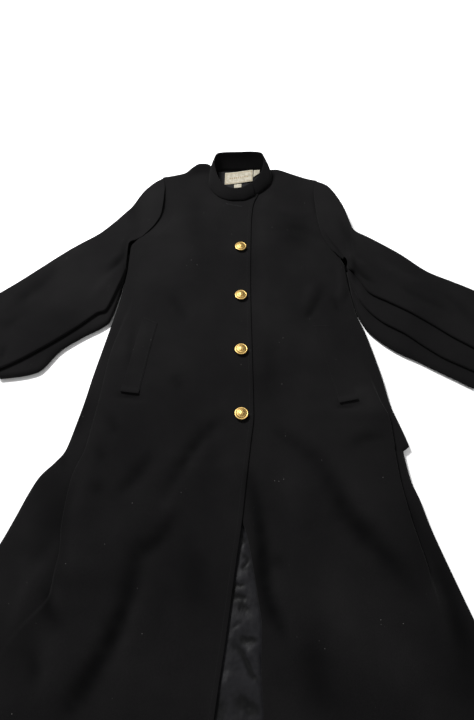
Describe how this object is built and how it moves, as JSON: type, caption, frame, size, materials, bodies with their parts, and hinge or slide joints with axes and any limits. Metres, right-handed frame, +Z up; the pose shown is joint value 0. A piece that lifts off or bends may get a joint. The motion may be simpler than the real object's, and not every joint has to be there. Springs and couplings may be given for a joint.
{
  "type": "long wool coat with a stand collar, laid flat",
  "caption": "Long wool coat with a stand collar, domed metal buttons, slanted welt pockets and a flared skirt, laid flat on its back with its sleeves out.",
  "frame": {"origin": "middle of the floor that the coat covers", "axes": "+X towards the wearer's left sleeve, +Y from the hem to the collar, +Z up from the floor"},
  "size_m": [1.1476, 1.2594, 0.0754],
  "materials": {
    "wool": "felted black melton with a soft nap",
    "satin": "black lining satin",
    "ribbon": "cream woven ribbon",
    "button_metal": "gilt, softly polished"
  },
  "bodies": {
    "root": {"front_right": "wool", "front_left": "wool", "back": "wool", "sleeve_right_upper": "wool", "sleeve_right_under": "wool", "sleeve_left_upper": "wool", "sleeve_left_under": "wool", "collar": "wool", "welt_right": "wool", "welt_left": "wool", "lining_neck": "satin", "lining_skirt": "satin", "label": "ribbon", "label_tab": "ribbon", "label_side_tab": "ribbon", "button_1": "button_metal", "button_2": "button_metal", "button_3": "button_metal", "button_4": "button_metal"}
  },
  "joints": []
}
